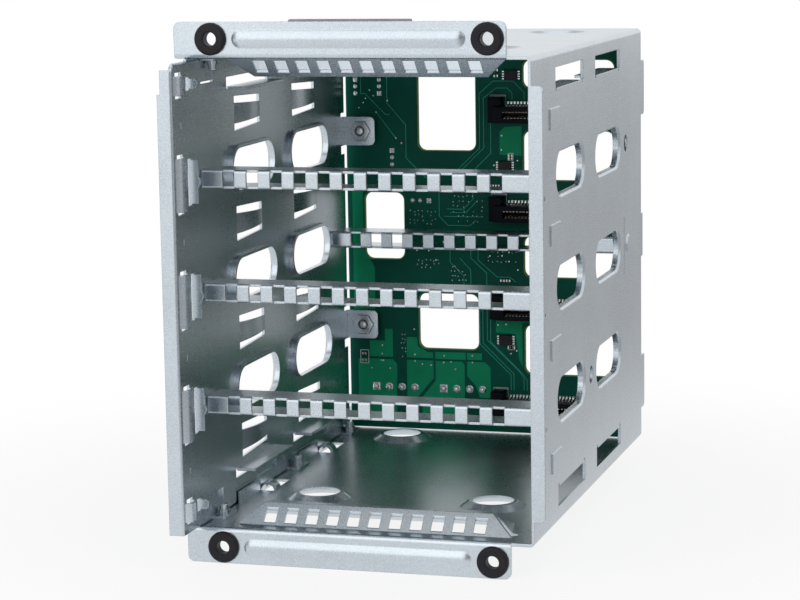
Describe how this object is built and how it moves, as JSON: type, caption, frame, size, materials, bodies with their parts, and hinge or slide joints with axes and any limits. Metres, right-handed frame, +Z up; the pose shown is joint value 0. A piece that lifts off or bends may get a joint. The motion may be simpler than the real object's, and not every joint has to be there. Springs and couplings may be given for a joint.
{
  "type": "hot swap drive cage",
  "caption": "Open-front sheet-steel cage for stacked 3.5 inch drives, with ladder crossbars, front mounting flanges on grommets and a backplane at the rear.",
  "frame": {"origin": "under the middle of the cage, at the height of its lowest edge, the lower front flange", "axes": "+Z up, the open front faces -Y, +X to the right as seen from the front"},
  "size_m": [0.1195, 0.197, 0.1757],
  "materials": {
    "zinc_steel": "zinc-coated sheet, satin grey with fine spangle",
    "board_green": "green solder mask over copper",
    "connector_black": "moulded black",
    "header_nylon": "natural nylon",
    "header_black": "moulded black",
    "tinned_pins": "tin plated",
    "chip_black": "moulded, matt",
    "fastener_steel": "zinc plated",
    "strip_grey": "matt grey strip",
    "black_rubber": "matt black rubber"
  },
  "bodies": {
    "root": {"main_shell": "zinc_steel", "left_side_panel": "zinc_steel", "front_crossbar_1": "zinc_steel", "front_crossbar_2": "zinc_steel", "front_crossbar_3": "zinc_steel", "rear_crossbar": "zinc_steel", "backplane_board": "board_green", "drive_connector_1": "connector_black", "drive_connector_2": "connector_black", "drive_connector_3": "connector_black", "drive_connector_4": "connector_black", "power_header_1": "header_nylon", "power_header_2": "header_nylon", "power_pins": "tinned_pins", "signal_headers": "header_black", "board_chips": "chip_black", "clinch_nuts": "fastener_steel", "board_screws": "fastener_steel", "panel_rivets": "fastener_steel", "edge_strip": "strip_grey", "grommet_top_left": "black_rubber", "grommet_top_right": "black_rubber", "grommet_bottom_left": "black_rubber", "grommet_bottom_right": "black_rubber"}
  },
  "joints": []
}
